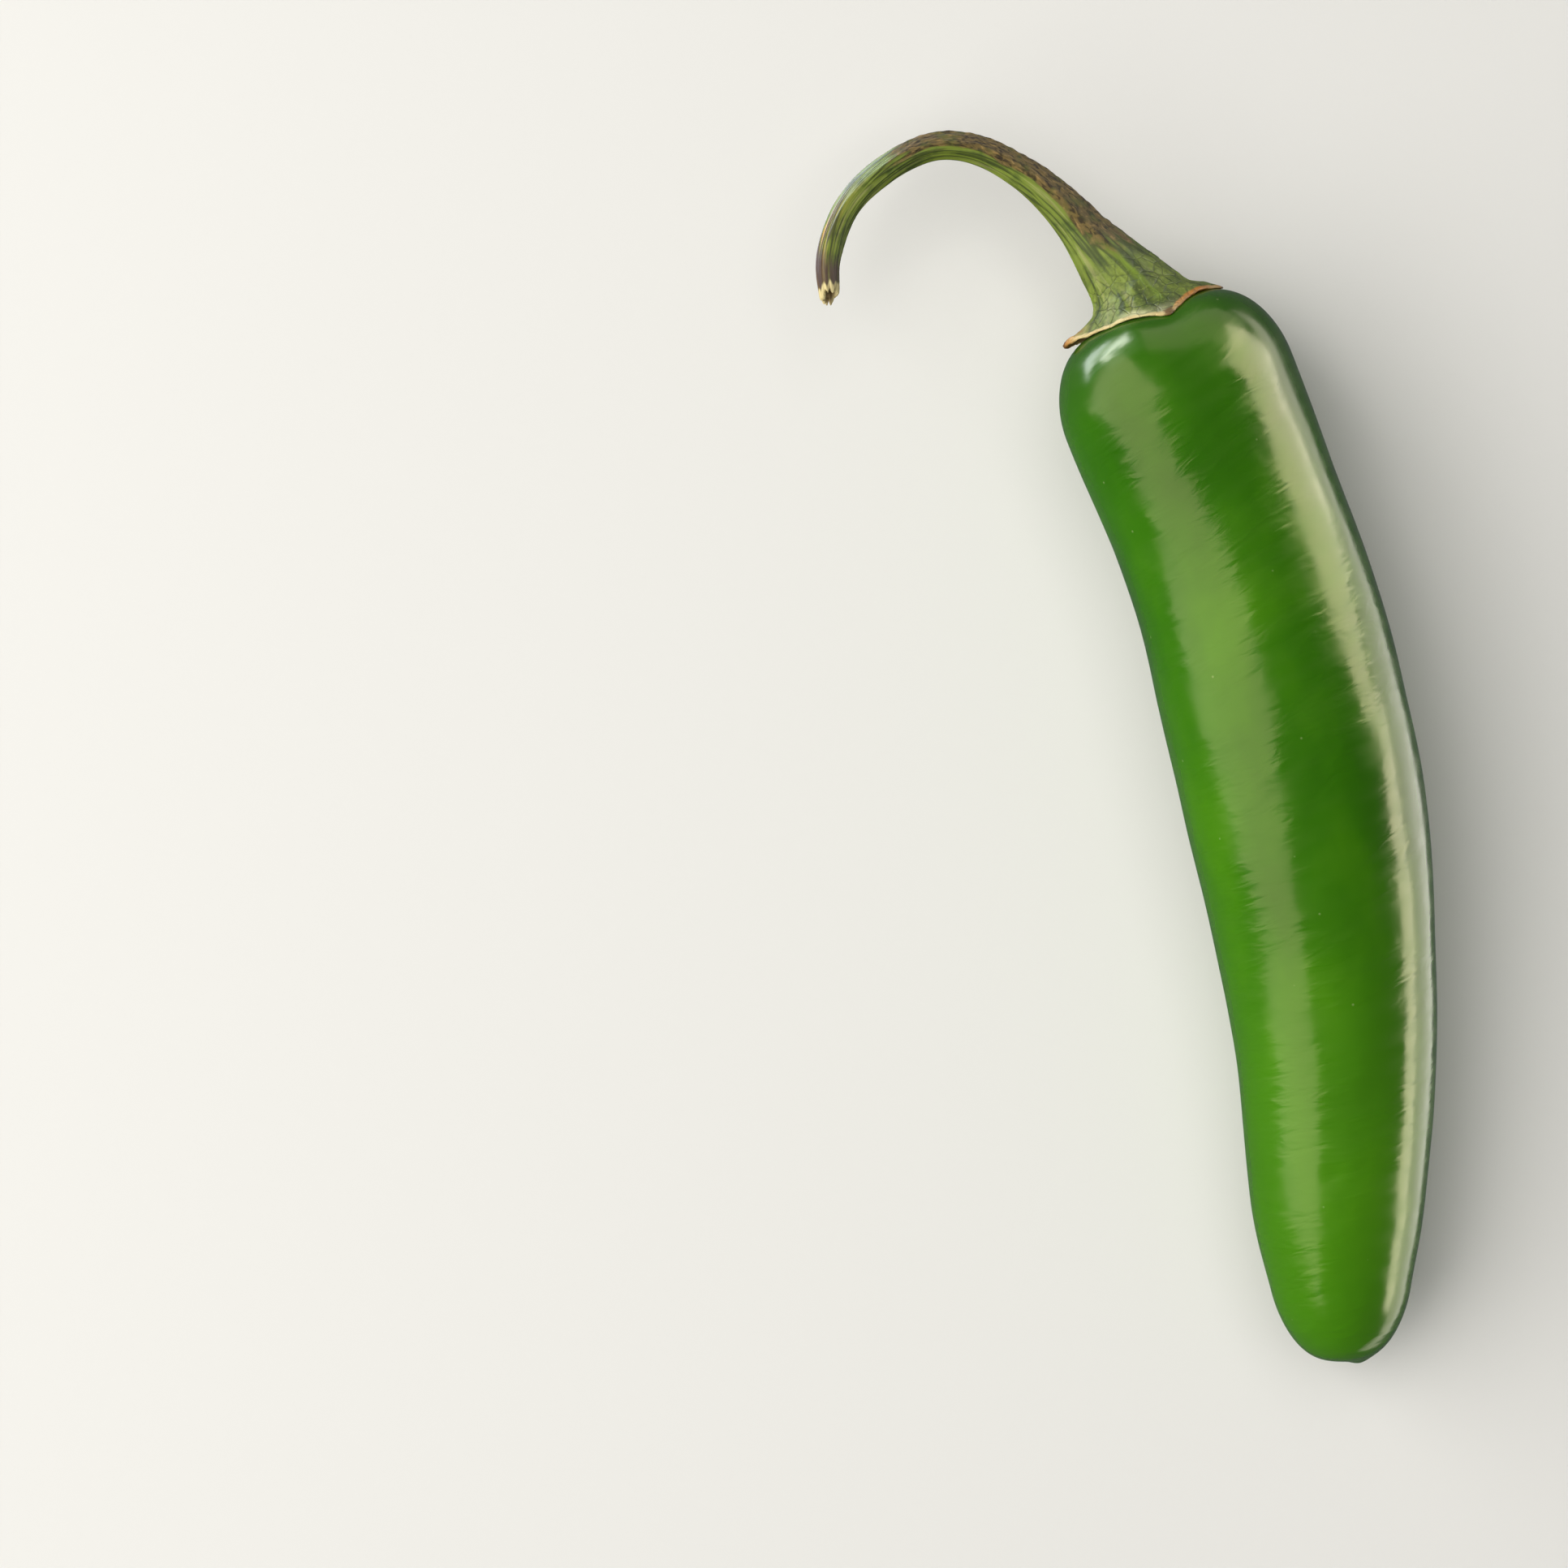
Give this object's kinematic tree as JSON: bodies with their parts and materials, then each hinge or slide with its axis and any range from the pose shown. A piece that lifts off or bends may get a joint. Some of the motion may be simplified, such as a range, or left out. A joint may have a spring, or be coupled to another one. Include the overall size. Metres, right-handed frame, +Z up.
{
  "type": "chilli pepper",
  "caption": "Green chilli pepper lying on its side, with a ridged stem that flares into a toothed calyx and hooks over at its torn end.",
  "frame": {"origin": "the middle of the small flat spot the pod rests on, on the surface it lies on", "axes": "+Z up, away from the surface; the pod points along -Y and bends gently towards +X; the stem leaves the +Y end and hooks over towards -X"},
  "size_m": [0.0521, 0.1032, 0.02],
  "materials": {
    "pod_skin": "waxy glossy green skin",
    "stem_skin": "dull fibrous grey-green with corky brown patches"
  },
  "bodies": {
    "root": {"pod": "pod_skin", "calyx_stem": "stem_skin"}
  },
  "joints": []
}
